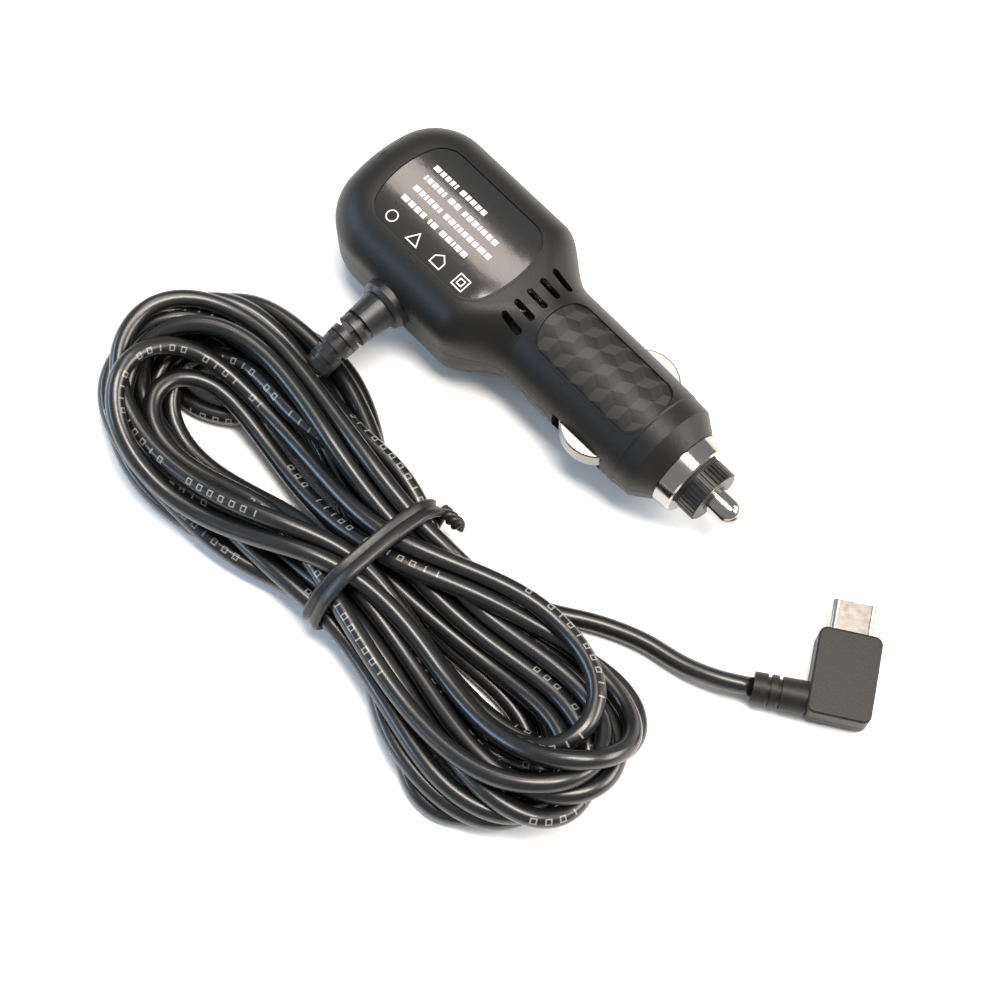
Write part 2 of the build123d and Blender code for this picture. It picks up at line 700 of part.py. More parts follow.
def relief_plane(along):
    """The plane square to the strain relief, a given way along its drooping stretch."""
    angle = along / RELIEF_BEND_R
    origin = (
        RELIEF_X,
        RELIEF_START_Y - RELIEF_BEND_R * sin(angle),
        AXIS_Z - RELIEF_BEND_R * (1 - cos(angle)),
    )
    return Plane(origin=origin, x_dir=(1, 0, 0), z_dir=(0, -cos(angle), -sin(angle)))


with BuildPart() as strain_relief:
    with BuildSketch(Plane(origin=(RELIEF_X, 0, AXIS_Z), x_dir=(0, -1, 0), z_dir=(-1, 0, 0))) as profile:
        with BuildLine():
            Polyline(
                (RELIEF_INNER_Y, 0),
                (RELIEF_INNER_Y, 4.6),
                (RELIEF_INNER_Y + 1.4, 4.6),
                (RELIEF_INNER_Y + 1.4, RELIEF_WAIST_R),
                (RELIEF_SEAT_Y + 0.05, RELIEF_WAIST_R),
                (RELIEF_SEAT_Y + 0.05, RELIEF_COLLAR_R),
                (RELIEF_COLLAR_Y - 1.0, RELIEF_COLLAR_R),
                (RELIEF_COLLAR_Y, RELIEF_COLLAR_R - 0.45),
                (RELIEF_COLLAR_Y, 3.9),
                (-RELIEF_START_Y, 3.45),
                (-RELIEF_START_Y, 0),
                close=True,
            )
        make_face()
    revolve(axis=Axis((RELIEF_X, 0, AXIS_Z), (0, 1, 0)))
    with BuildSketch(relief_plane(0)):
        Circle(2.3)
    with BuildLine() as droop:
        ThreePointArc(
            relief_plane(0).origin, relief_plane(relief_length / 2).origin, relief_plane(relief_length).origin
        )
    sweep(path=droop.wires()[0])
    for rib in range(RELIEF_RIBS):
        rib_r = 3.35 - 0.15 * rib
        start = 0.9 + rib * RELIEF_PITCH
        with BuildSketch(relief_plane(start)):
            Circle(rib_r)
        extrude(amount=RELIEF_RIB_T)
        with BuildSketch(relief_plane(start - 1.05)):
            if rib % 2:
                Rectangle(2.4, 2 * rib_r - 0.3)
            else:
                Rectangle(2 * rib_r - 0.3, 2.4)
        extrude(amount=1.2)
finish(strain_relief.part, "strain_relief")

WIRE_R = 0.5
PAD_Y = -10.6
for name, entry_x, pad_x in (("supply_wire", -27.6, -29.5), ("return_wire", -25.4, -23.5)):
    with BuildPart() as inner_wire:
        with BuildLine() as wire_route:
            FilletPolyline(
                (entry_x, -RELIEF_INNER_Y + 0.02, AXIS_Z),
                (entry_x, PAD_Y - 1.3, AXIS_Z),
                (pad_x, PAD_Y, AXIS_Z - 0.6),
                (pad_x, PAD_Y, board_top),
                radius=WIRE_R,
            )
        with BuildSketch(Plane(origin=wire_route.wires()[0] @ 0, z_dir=wire_route.wires()[0] % 0)):
            Circle(WIRE_R)
        sweep(path=wire_route.wires()[0])
    finish(inner_wire.part, name)

# ---- Cord: the lead, the tied hank and the tail ----------------------------------------------

relief_end = relief_plane(relief_length).origin
finish(
    cord_tube(
        [
            (relief_end.X, relief_end.Y, relief_end.Z),
            (-26.6, -41.0, 5.6),
            (-28.6, -47.0, 3.0),
            (-33.0, -51.5, 1.9),
            (-39.5, -54.0, 1.8),
        ]
    ),
    "cord_lead",
)

# where the hank is cut across: x, lower y, upper y, lowest z, highest z
HANK_SLICES = [
    (-61.0, -57.5, -49.0, 1.0, 4.4),
    (-58.0, -64.0, -43.5, 0.3, 8.0),
    (-46.0, -70.3, -37.5, 0.3, 10.5),
    (-26.0, -71.0, -35.0, 0.3, 12.0),
    (-6.0, -69.5, -34.0, 0.4, 13.0),
    (TIE_X, -67.3, -38.9, 1.1, 13.4),
    (26.0, -71.0, -38.0, 0.4, 13.0),
    (44.0, -76.0, -34.0, 0.3, 12.0),
    (58.0, -73.0, -31.8, 0.3, 10.5),
    (66.0, -63.0, -33.0, 0.3, 8.0),
    (69.5, -55.0, -40.0, 1.0, 4.4),
]

with BuildPart() as cord_hank:
    for x, low_y, high_y, low_z, high_z in HANK_SLICES:
        slice_plane = Plane(
            origin=(x, (low_y + high_y) / 2, (low_z + high_z) / 2), x_dir=(0, 1, 0), z_dir=(1, 0, 0)
        )
        with BuildSketch(slice_plane):
            Ellipse((high_y - low_y) / 2, (high_z - low_z) / 2)
    loft()
finish(cord_hank.part, "cord_hank")

TIE_WIDTH = 2.9
TIE_T = 1.0
TIE_GAP = 0.05
TWIST_R = 1.5
TWIST_LENGTH = 7.5
_, tie_low_y, tie_high_y, tie_low_z, tie_high_z = HANK_SLICES[5]
with BuildPart() as hank_tie:
    tie_half_y = (tie_high_y - tie_low_y) / 2
    tie_half_z = (tie_high_z - tie_low_z) / 2
    tie_plane = Plane(
        origin=(TIE_X - TIE_WIDTH / 2, (tie_low_y + tie_high_y) / 2, (tie_low_z + tie_high_z) / 2),
        x_dir=(0, 1, 0),
        z_dir=(1, 0, 0),
    )
    with BuildSketch(tie_plane):
        Ellipse(tie_half_y + TIE_T, tie_half_z + TIE_T)
        Ellipse(tie_half_y + TIE_GAP, tie_half_z + TIE_GAP, mode=Mode.SUBTRACT)
    extrude(amount=TIE_WIDTH)
    # its two ends, twisted together
    with BuildSketch(Plane(origin=(TIE_X + 0.8, tie_high_y + 0.6, 9.6), z_dir=(0.9, -0.14, -0.08))):
        Circle(TWIST_R)
    extrude(amount=TWIST_LENGTH, taper=3)
finish(hank_tie.part, "hank_tie")

plug_plane = Plane(
    origin=(PLUG_X, PLUG_Y, 0), x_dir=(cos(radians(PLUG_TURN)), sin(radians(PLUG_TURN)), 0), z_dir=(0, 0, 1)
)
relief_foot = plug_plane.from_local_coords((PLUG_RELIEF_OFFSET, PLUG_WIDTH / 2, PLUG_T / 2))
relief_tip = relief_foot + plug_plane.y_dir * PLUG_RELIEF_LENGTH
finish(
    cord_tube(
        [
            (20.5, -41.3, 7.6),
            (28.3, -39.3, 5.0),
            (36.0, -35.2, 2.6),
            (44.0, -29.6, 1.8),
            (52.4, -25.6, 1.8),
            (60.4, -23.8, 2.4),
            (67.3, -20.95, 3.5),
            (relief_tip.X, relief_tip.Y, relief_tip.Z),
        ]
    ),
    "cord_tail",
)

# ---- USB-C plug, moulded at a right angle to the cord ----------------------------------------

front_plane = Plane(
    origin=plug_plane.from_local_coords((PLUG_LENGTH / 2, 0, PLUG_T / 2)),
    x_dir=plug_plane.y_dir,
    z_dir=plug_plane.x_dir,
)
relief_side = Plane(origin=relief_foot, x_dir=plug_plane.x_dir, z_dir=plug_plane.y_dir)
USB_INSIDE = 3.0

with BuildPart() as plug_body:
    with BuildSketch(plug_plane):
        RectangleRounded(PLUG_LENGTH, PLUG_WIDTH, 1.6)
    extrude(amount=PLUG_T)
    fillet(plug_body.edges().group_by(Axis.Z)[0], 1.2)
    fillet(plug_body.edges().group_by(Axis.Z)[-1], 0.5)
    with BuildSketch(plug_plane.offset(PLUG_T * 0.45)):
        RectangleRounded(PLUG_LENGTH + 1, PLUG_WIDTH + 1, 2.0)
        RectangleRounded(PLUG_LENGTH - 0.3, PLUG_WIDTH - 0.3, 1.5, mode=Mode.SUBTRACT)
    extrude(amount=0.16, mode=Mode.SUBTRACT)
    with BuildSketch(front_plane.offset(-USB_INSIDE)):
        SlotOverall(USB_WIDTH + 0.02, USB_T + 0.02)
    extrude(amount=USB_INSIDE + 1, mode=Mode.SUBTRACT)
    with BuildSketch(relief_side.offset(-1.0)):
        Circle(2.6)
    extrude(amount=2.0, mode=Mode.SUBTRACT)
finish(plug_body.part, "plug_body")

with BuildPart() as plug_strain_relief:
    with BuildSketch(relief_side.offset(-1.0)):
        Circle(2.58)
    extrude(amount=1.0)
    with BuildSketch(relief_side):
        Circle(3.15)
    with BuildSketch(relief_side.offset(PLUG_RELIEF_LENGTH)):
        Circle(2.9)
    loft()
    for groove in (4.6, 6.6):
        with BuildSketch(relief_side.offset(groove)):
            Circle(4.0)
            Circle(2.45, mode=Mode.SUBTRACT)
        extrude(amount=0.7, mode=Mode.SUBTRACT)
finish(plug_strain_relief.part, "plug_strain_relief")

with BuildPart() as plug_shell:
    with BuildSketch(front_plane.offset(-USB_INSIDE)):
        SlotOverall(USB_WIDTH, USB_T)
        SlotOverall(USB_WIDTH - 0.6, USB_T - 0.6, mode=Mode.SUBTRACT)
    extrude(amount=USB_INSIDE + USB_OUT)
finish(plug_shell.part, "plug_shell")

LINER_DEPTH = 5.6
with BuildPart() as plug_liner:
    with BuildSketch(front_plane.offset(-USB_INSIDE)):
        SlotOverall(USB_WIDTH - 0.64, USB_T - 0.64)
    extrude(amount=USB_INSIDE + USB_OUT - 0.3)
    with BuildSketch(front_plane.offset(USB_OUT - LINER_DEPTH)):
        Rectangle(6.7, 0.85)
    extrude(amount=LINER_DEPTH, mode=Mode.SUBTRACT)
finish(plug_liner.part, "plug_liner")

with BuildPart() as plug_contacts:
    for row in (-1, 1):
        with BuildSketch(front_plane.offset(USB_OUT - LINER_DEPTH + 0.1)):
            with Locations((0, row * 0.37)):
                with GridLocations(0.5, 1, 12, 1):
                    Rectangle(0.25, 0.1)
        extrude(amount=4.2)
finish(plug_contacts.part, "plug_contacts")
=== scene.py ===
"""A car power adapter with its cord in a tied hank and a right-angle plug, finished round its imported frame."""

from math import cos, pi, sin, tau

import bmesh
import bpy
import numpy as np
from mathutils import Matrix, Vector
from mathutils.bvhtree import BVHTree


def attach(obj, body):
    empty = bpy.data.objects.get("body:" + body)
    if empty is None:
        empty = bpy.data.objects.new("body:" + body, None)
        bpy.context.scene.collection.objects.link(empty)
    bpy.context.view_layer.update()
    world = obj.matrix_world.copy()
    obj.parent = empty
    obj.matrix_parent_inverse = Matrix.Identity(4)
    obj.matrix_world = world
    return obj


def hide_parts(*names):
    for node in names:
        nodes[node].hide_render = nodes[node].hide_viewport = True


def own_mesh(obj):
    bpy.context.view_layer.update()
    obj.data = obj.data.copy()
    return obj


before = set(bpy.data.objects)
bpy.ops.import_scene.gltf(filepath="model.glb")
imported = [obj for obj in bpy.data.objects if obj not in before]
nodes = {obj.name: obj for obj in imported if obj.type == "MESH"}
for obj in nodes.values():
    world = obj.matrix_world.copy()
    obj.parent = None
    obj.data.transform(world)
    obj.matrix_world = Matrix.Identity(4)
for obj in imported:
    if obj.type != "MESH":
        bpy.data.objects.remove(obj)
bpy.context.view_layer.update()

# ---- Table, light and camera -----------------------------------------------------------------
# The adapter lies on a white sweep under a large soft light overhead, with a warm softbox beyond it
# and a cool, weaker one on the near side.

scene = bpy.context.scene
scene.view_settings.view_transform = "Standard"

TABLE_HALF = 3.0
TABLE_Z = -0.00005  # just under the lowest piece
table_mesh = bpy.data.meshes.new("table")
table_mesh.from_pydata(
    [(x * TABLE_HALF, y * TABLE_HALF, TABLE_Z) for x, y in ((-1, -1), (1, -1), (1, 1), (-1, 1))],
    [],
    [(0, 1, 2, 3)],
)
table = bpy.data.objects.new("table", table_mesh)
scene.collection.objects.link(table)
table_paper = bpy.data.materials.new("table_paper")
table_paper.use_nodes = True
paper = table_paper.node_tree.nodes["Principled BSDF"]
paper.inputs["Base Color"].default_value = (0.93, 0.93, 0.935, 1)
paper.inputs["Roughness"].default_value = 0.6
table_mesh.materials.append(table_paper)

scene.world = bpy.data.worlds.new("studio")
scene.world.use_nodes = True
studio = scene.world.node_tree.nodes["Background"]
studio.inputs["Color"].default_value = (0.95, 0.97, 1.0, 1)
studio.inputs["Strength"].default_value = 0.42

# each lamp: its place, size and power, its colour, and the way its long side runs
AIM = Vector((0.014, -0.026, 0.0))
for name, place, size, power, colour, long_side in (
    ("softbox_over", (0.08, 0.06, 0.75), (0.55, 0.18), 7.5, (1.0, 0.93, 0.85), (1, 0.2, 0)),
    ("softbox_far", (0.42, 0.40, 0.34), (0.50, 0.30), 5.0, (1.0, 0.92, 0.84), (-1, 1, 0)),
    ("softbox_near", (-0.45, -0.42, 0.26), (0.60, 0.12), 2.6, (0.55, 0.78, 1.0), (1, -1, 0)),
    ("softbox_label", (-0.33, 0.25, 0.73), (0.46, 0.17), 1.5, (1.0, 0.90, 0.80), (1, 0, 0)),
):
    lamp = bpy.data.lights.new(name, "AREA")
    lamp.shape = "RECTANGLE"
    lamp.size, lamp.size_y = size
    lamp.energy = power
    lamp.color = colour
    holder = bpy.data.objects.new(name, lamp)
    scene.collection.objects.link(holder)
    back = (Vector(place) - AIM).normalized()
    across = Vector(long_side) - back * back.dot(Vector(long_side))
    across.normalize()
    turned = Matrix((across, back.cross(across), back)).transposed().to_4x4()
    holder.matrix_world = Matrix.Translation(place) @ turned

CAMERA_PLACE = Vector((0.11012, -0.11438, 0.33233))
CAMERA_AIM = Vector((0.01391, -0.02560, 0.0))
camera_data = bpy.data.cameras.new("camera")
camera_data.sensor_width = 36.0
camera_data.lens = 68.4
camera = bpy.data.objects.new("camera", camera_data)
scene.collection.objects.link(camera)
camera.location = CAMERA_PLACE
camera.rotation_euler = (CAMERA_AIM - CAMERA_PLACE).to_track_quat("-Z", "Y").to_euler()
scene.camera = camera

# ---- Cord ------------------------------------------------------------------------------------
# A round two-core cord in glossy black PVC, extruded, and printed with a pale line of marks.
# It runs from the strain relief into a hank of loose turns that a tie holds at its middle, and
# out again along the table to the plug.

MM = 0.001
CORD_D = 3.5 * MM
CORD_R = CORD_D / 2
STEP = 4.0 * MM  # spacing of the settled cord's points
TIE_X = 10.0 * MM
TIE_CENTRE = Vector((TIE_X, -53.1 * MM, 8.1 * MM))
TIE_HALF_Y = 14.6 * MM  # the room inside the tie
TIE_HALF_Z = 7.1 * MM
RELIEF_ROOT = np.array((-26.5, -22.0, 12.0)) * MM
RELIEF_TIP = np.array((-26.5, -35.4, 8.7)) * MM
RELIEF_R = 3.3 * MM

# the route's points are in mm
LEAD = [
    (-26.5, -35.1, 8.8),
    (-26.6, -41.0, 5.6),
    (-28.6, -47.0, 3.0),
    (-33.0, -51.5, 1.9),
    (-39.5, -54.0, 1.8),
]
TAIL = [
    (20.5, -41.3, 7.6),
    (28.3, -39.3, 5.0),
    (36.0, -35.2, 2.6),
    (44.0, -29.6, 1.8),
    (52.4, -25.6, 1.8),
    (60.4, -23.8, 2.4),
    (67.3, -20.95, 3.5),
    (72.0, -17.72, 3.55),
]
# the loops left of the tie, in the order in which the cord makes them: the x and y of the loop's
# end, the y of its two sides at mid-length, +Y side first, and how high it lies, from 0 to 10
LEFT_LOOPS = [
    (-52.8, -45.0, -33.0, -62.0, 0.0),
    (-51.8, -51.0, -34.5, -67.0, 1.0),
    (-57.8, -46.0, -34.5, -70.0, 2.0),
    (-58.3, -53.0, -37.0, -71.5, 3.0),
    (-57.3, -56.0, -38.5, -70.0, 4.0),
    (-54.8, -55.0, -41.0, -67.5, 5.0),
    (-56.3, -49.0, -36.0, -64.5, 4.5),
    (-46.3, -54.5, -42.5, -62.0, 6.0),
    (-52.8, -55.0, -42.0, -69.0, 6.5),
    (-46.8, -57.5, -53.0, -64.5, 8.0),
    (-51.3, -58.5, -45.6, -71.0, 9.5),
    (-56.3, -50.5, -39.0, -67.5, 7.5),
]
RIGHT_LOOPS = [
    (60.5, -63.5, -50.5, -75.0, 0.0),
    (63.0, -58.0, -47.5, -71.5, 1.0),
    (67.0, -42.0, -41.0, -57.0, 2.5),
    (61.0, -53.5, -44.6, -63.5, 3.0),
    (64.5, -62.5, -48.6, -70.5, 4.5),
    (68.4, -54.5, -45.6, -65.5, 5.0),
    (68.5, -45.5, -41.1, -62.0, 6.0),
    (66.5, -39.5, -40.0, -56.0, 4.0),
    (66.5, -50.5, -43.6, -65.5, 7.5),
    (69.0, -42.0, -41.0, -59.0, 8.5),
    (63.0, -47.5, -41.1, -57.5, 9.5),
]
# one side of a loop: shares of its reach, and of its width there
LOOP_SHAPE = [(0.28, 0.8), (0.5, 1.0), (0.72, 0.96), (0.91, 0.72)]
LAYER_T = 1.05  # rise from one layer to the next
LAYER_GAP = 0.4  # under the lowest layer
FIRST_LOOP_FROM = 3  # where the lead joins the first loop
TIE_GATHER = 0.62  # how much the tie draws the turns together
TIE_LAYER_T = 0.4  # rise from one layer to the next inside the tie
MIDDLE_LAYER = 5.0
LAST_PASS = (-42.5, 9.5)  # where the tail leaves the tie


def loop_points(end_x, end_y, first_y, second_y, layer):
    """Points round one loop, out along the side at first_y, round its end and back at second_y."""
    tie_x, tie_y = TIE_CENTRE.x / MM, TIE_CENTRE.y / MM
    z = CORD_R / MM + LAYER_GAP + layer * LAYER_T
    sides = []
    for side_y in (first_y, second_y):
        side = []
        for reach, width in LOOP_SHAPE:
            middle = tie_y + (end_y - tie_y) * reach
            side.append((tie_x + reach * (end_x - tie_x), middle + (side_y - middle) * width, z))
        sides.append(side)
    return sides[0] + [(end_x, end_y, z)] + sides[1][::-1]


def tie_point(side_a, side_b, layer_a, layer_b):
    """Where a turn passes through the tie, between the sides of its two loops."""
    tie_y, tie_z = TIE_CENTRE.y / MM, TIE_CENTRE.z / MM
    y = tie_y + TIE_GATHER * ((side_a + side_b) / 2 - tie_y)
    return (TIE_X / MM, y, tie_z + TIE_LAYER_T * (layer_a + layer_b - 2 * MIDDLE_LAYER))


route = list(LEAD)
for turn, (end_x, end_y, plus_y, minus_y, layer) in enumerate(LEFT_LOOPS):
    left = loop_points(end_x, end_y, minus_y, plus_y, layer)
    route += left[FIRST_LOOP_FROM:] if turn == 0 else left
    if turn < len(RIGHT_LOOPS):
        right_x, right_y, right_plus_y, right_minus_y, right_layer = RIGHT_LOOPS[turn]
        route.append(tie_point(plus_y, right_plus_y, layer, right_layer))
        route += loop_points(right_x, right_y, right_plus_y, right_minus_y, right_layer)
        next_minus_y, next_layer = LEFT_LOOPS[turn + 1][3:]
        route.append(tie_point(next_minus_y, right_minus_y, next_layer, right_layer))
route.append((TIE_X / MM, *LAST_PASS))
route += TAIL
route = np.array(route) * MM


def through_line(points):
    """A smooth line that passes through the points."""
    points = np.vstack([2 * points[0] - points[1], points, 2 * points[-1] - points[-2]])
    before, start, end, after = points[:-3], points[1:-2], points[2:-1], points[3:]
    pieces = [
        0.5
        * (
            2 * start
            + (end - before) * t
            + (2 * before - 5 * start + 4 * end - after) * t**2
            + (3 * start - before - 3 * end + after) * t**3
        )
        for t in np.arange(8) / 8
    ]
    return np.vstack([np.stack(pieces, axis=1).reshape(-1, 3), points[-2]])


def smooth_line(points):
    """The points of the NURBS line that has these control points."""
    curve = bpy.data.curves.new("line", "CURVE")
    curve.dimensions = "3D"
    spline = curve.splines.new("NURBS")
    spline.points.add(len(points) - 1)
    for knot, point in zip(spline.points, points):
        knot.co = (*point, 1.0)
    spline.order_u = 3
    spline.use_endpoint_u = True
    spline.resolution_u = 4
    holder = bpy.data.objects.new("line", curve)
    mesh = bpy.data.meshes.new_from_object(holder)
    line = np.array([vertex.co for vertex in mesh.vertices], float)
    bpy.data.meshes.remove(mesh)
    bpy.data.curves.remove(curve)
    return line


def spaced(line, step):
    """The line again with its points a step apart, and the exact step."""
    along = np.concatenate([[0], np.cumsum(np.linalg.norm(np.diff(line, axis=0), axis=1))])
    count = round(along[-1] / step)
    at = np.linspace(0, along[-1], count + 1)
    return np.stack([np.interp(at, along, values) for values in line.T], axis=1), along[-1] / count


NEIGHBOURS = 4  # spans nearer than this along the cord are never parted


def close_spans(points, reach):
    """The pairs of spans of the cord whose middles are within reach."""
    middles = (points[1:] + points[:-1]) / 2
    gaps = ((middles[:, None] - middles[None]) ** 2).sum(-1)
    return np.nonzero(np.triu(gaps < reach**2, NEIGHBOURS))


OVER_PUSH = 1.2
LEAST_SHARE = 0.05  # a point with less of the push than this isn't counted as pushed


def part_spans(points, first, second, apart):
    """Pushes apart the spans that lie in each other."""
    start_a, start_b = points[first], points[second]
    run_a, run_b = points[first + 1] - start_a, points[second + 1] - start_b
    between = start_a - start_b
    aa, ab, bb = (run_a * run_a).sum(1), (run_a * run_b).sum(1), (run_b * run_b).sum(1)
    da, db = (run_a * between).sum(1), (run_b * between).sum(1)
    square = np.maximum(aa * bb - ab * ab, 1e-6 * aa * bb)  # kept off 0 for parallel spans
    share_a = np.clip((ab * db - bb * da) / square, 0, 1)
    share_b = np.clip((ab * share_a + db) / bb, 0, 1)
    share_a = np.clip((ab * share_b - da) / aa, 0, 1)
    gap = between + share_a[:, None] * run_a - share_b[:, None] * run_b
    distance = np.linalg.norm(gap, axis=1)
    hit = distance < apart
    if not hit.any():
        return
    first, second, share_a, share_b = first[hit], second[hit], share_a[hit], share_b[hit]
    depth = apart - distance[hit]
    push = gap[hit] / np.maximum(distance[hit], 1e-9)[:, None]
    weight = (1 - share_a) ** 2 + share_a**2 + (1 - share_b) ** 2 + share_b**2
    move, times = np.zeros_like(points), np.zeros(len(points))
    for index, share, sign in (
        (first, 1 - share_a, 1),
        (first + 1, share_a, 1),
        (second, 1 - share_b, -1),
        (second + 1, share_b, -1),
    ):
        np.add.at(move, index, sign * (share * depth / weight)[:, None] * push)
        np.add.at(times, index, share > LEAST_SHARE)
    points += OVER_PUSH * move / np.maximum(times, 1)[:, None]


ROUNDS = 1800
SEARCH_EVERY = 12  # rounds between searches for close spans
SEARCH_MARGIN = 2.0 * MM
HELD_AT_START = 4  # points held at the strain relief
HELD_AT_END = 15  # points held along the tail
CLEAR_OF_RELIEF = 12  # the first points, which leave the relief, may touch it
PULL, LATE_PULL = 0.015, 0.004  # back towards the route, each round
SINK, LATE_SINK = 0.05 * MM, 0.012 * MM
FAIRING = 0.6  # bending stiffness
SPARE = 0.05 * MM  # room left between turns
TIE_REACH = 2.6 * MM  # length of cord that the tie acts on, to each side


def settle(points, step):
    """Lets the cord sink and spread until its turns lie on each other.

    The tie and the cord's two ends hold it. The second half of the rounds is gentler.
    """
    wanted = points.copy()
    free = np.ones(len(points), bool)
    free[:HELD_AT_START] = False
    free[-HELD_AT_END:] = False
    held = points[~free].copy()
    for round_number in range(ROUNDS):
        late = round_number > 0.5 * ROUNDS
        if round_number % SEARCH_EVERY == 0:
            first, second = close_spans(points, step + CORD_D + SEARCH_MARGIN)
        points[free, :2] += (LATE_PULL if late else PULL) * (wanted - points)[free, :2]
        points[free, 2] -= LATE_SINK if late else SINK
        for _ in range(2):
            fair = points.copy()
            fair[2:-2] = (-points[:-4] + 4 * points[1:-3] + 4 * points[3:-1] - points[4:]) / 6
            points[free] += FAIRING * (fair - points)[free]
        for parity in (0, 1, 0, 1):
            index = np.arange(parity, len(points) - 1, 2)
            run = points[index + 1] - points[index]
            length = np.linalg.norm(run, axis=1)
            share = free[index] / np.maximum(free[index].astype(int) + free[index + 1], 1)
            stretch = ((length - step) / length)[:, None] * run
            points[index] += share[:, None] * stretch
            points[index + 1] -= (1 - share)[:, None] * stretch
            points[~free] = held
        for _ in range(3 if late else 2):
            part_spans(points, first, second, CORD_D + SPARE)
            points[~free] = held
            near = free & (abs(points[:, 0] - TIE_X) < TIE_REACH)
            y = (points[near, 1] - TIE_CENTRE.y) / (TIE_HALF_Y - CORD_R)
            z = (points[near, 2] - TIE_CENTRE.z) / (TIE_HALF_Z - CORD_R)
            out = np.maximum(np.sqrt(y * y + z * z), 1)
            points[near, 1] = TIE_CENTRE.y + (points[near, 1] - TIE_CENTRE.y) / out
            points[near, 2] = TIE_CENTRE.z + (points[near, 2] - TIE_CENTRE.z) / out
            points[free, 2] = np.maximum(points[free, 2], CORD_R)
            # the turns keep off the strain relief
            relief = RELIEF_TIP - RELIEF_ROOT
            past = points[CLEAR_OF_RELIEF:]
            share = np.clip((past - RELIEF_ROOT) @ relief / (relief @ relief), 0, 1)
            gap = past - RELIEF_ROOT - share[:, None] * relief
            distance = np.linalg.norm(gap, axis=1)
            short = np.maximum(RELIEF_R + CORD_R - distance, 0)
            past += (short / distance)[:, None] * gap
    return points


laid, step = spaced(through_line(route), STEP)
cord_points = settle(laid, step)
cord_line = smooth_line(cord_points)


def tube(name, line, radius, sides, roll=lambda along: 0.0):
    """A capped tube along a line that is nowhere upright.

    Its UV map holds the distance along it and the share of the way round it.
    """
    line = np.array(line, float)
    tangents = np.gradient(line, axis=0)
    along = np.concatenate([[0], np.cumsum(np.linalg.norm(np.diff(line, axis=0), axis=1))])
    vertices = []
    for point, tangent, distance in zip(line, tangents, along):
        tangent = tangent / np.linalg.norm(tangent)
        across = np.cross(tangent, (0.0, 0.0, 1.0))
        across /= np.linalg.norm(across)
        upright = np.cross(across, tangent)
        for k in range(sides):
            angle = tau * k / sides + roll(distance)
            vertices.append(point + radius * (cos(angle) * across + sin(angle) * upright))
    faces, uvs = [], []
    for ring in range(len(line) - 1):
        for k in range(sides):
            following = (k + 1) % sides
            a, b = ring * sides, (ring + 1) * sides
            faces.append((a + k, b + k, b + following, a + following))
            for at, v in ((ring, k), (ring + 1, k), (ring + 1, k + 1), (ring, k + 1)):
                uvs.append((along[at], v / sides))
    for ring, order in ((0, 1), (len(line) - 1, -1)):
        faces.append(tuple(ring * sides + k for k in range(sides))[::order])
        uvs += [(along[ring], 0.75)] * sides
    mesh = bpy.data.meshes.new(name)
    mesh.from_pydata([tuple(vertex) for vertex in vertices], [], faces)
    layer = mesh.uv_layers.new(name="along")
    layer.data.foreach_set("uv", np.array(uvs, np.float32).ravel())
    mesh.polygons.foreach_set("use_smooth", [True] * len(mesh.polygons))
    made = bpy.data.objects.new(name, mesh)
    scene.collection.objects.link(made)
    return made


# its print wanders from side to side over the top
def print_roll(along):
    """How far the print has turned from its mean line, this far along."""
    return 1.25 * sin(9.0 * along) + 0.7 * sin(23.0 * along + 1.0)


cord = tube("cord", cord_line, CORD_R, 18, print_roll)


def new_material(name):
    """An empty material with its node tree, and its Principled shader."""
    material = bpy.data.materials.new(name)
    material.use_nodes = True
    tree = material.node_tree
    return material, tree, tree.nodes["Principled BSDF"]


def maths(tree, operation, a, b=None, c=None):
    """One maths node's output; each of a, b and c is a socket or a number."""
    node = tree.nodes.new("ShaderNodeMath")
    node.operation = operation
    for socket, value in zip(node.inputs, (a, b, c)):
        if isinstance(value, bpy.types.NodeSocket):
            tree.links.new(value, socket)
        elif value is not None:
            socket.default_value = value
    return node.outputs[0]


# fine_grain: the eroded surface of a mould, as a bump and a mask for the roughness
fine_grain = bpy.data.node_groups.new("fine_grain", "ShaderNodeTree")
fine_grain.interface.new_socket("Scale", in_out="INPUT", socket_type="NodeSocketFloat")
fine_grain.interface.new_socket("Strength", in_out="INPUT", socket_type="NodeSocketFloat")
fine_grain.interface.new_socket("Normal", in_out="OUTPUT", socket_type="NodeSocketVector")
fine_grain.interface.new_socket("Mask", in_out="OUTPUT", socket_type="NodeSocketFloat")
grain_in = fine_grain.nodes.new("NodeGroupInput")
grain_out = fine_grain.nodes.new("NodeGroupOutput")
grain_place = fine_grain.nodes.new("ShaderNodeTexCoord")
grain_noise = fine_grain.nodes.new("ShaderNodeTexNoise")
grain_noise.inputs["Detail"].default_value = 4.0
grain_bump = fine_grain.nodes.new("ShaderNodeBump")
grain_bump.inputs["Distance"].default_value = 0.00004
fine_grain.links.new(grain_place.outputs["Object"], grain_noise.inputs["Vector"])
fine_grain.links.new(grain_in.outputs["Scale"], grain_noise.inputs["Scale"])
fine_grain.links.new(grain_in.outputs["Strength"], grain_bump.inputs["Strength"])
fine_grain.links.new(grain_noise.outputs["Fac"], grain_bump.inputs["Height"])
fine_grain.links.new(grain_bump.outputs["Normal"], grain_out.inputs["Normal"])
fine_grain.links.new(grain_noise.outputs["Fac"], grain_out.inputs["Mask"])


def add_grain(tree, shader, scale, strength, low, high):
    """Puts the mould's grain on a material, with the roughness running from low to high."""
    group = tree.nodes.new("ShaderNodeGroup")
    group.node_tree = fine_grain
    group.inputs["Scale"].default_value = scale
    group.inputs["Strength"].default_value = strength
    tree.links.new(group.outputs["Normal"], shader.inputs["Normal"])
    roughness = maths(tree, "MULTIPLY_ADD", group.outputs["Mask"], high - low, low)
    tree.links.new(roughness, shader.inputs["Roughness"])


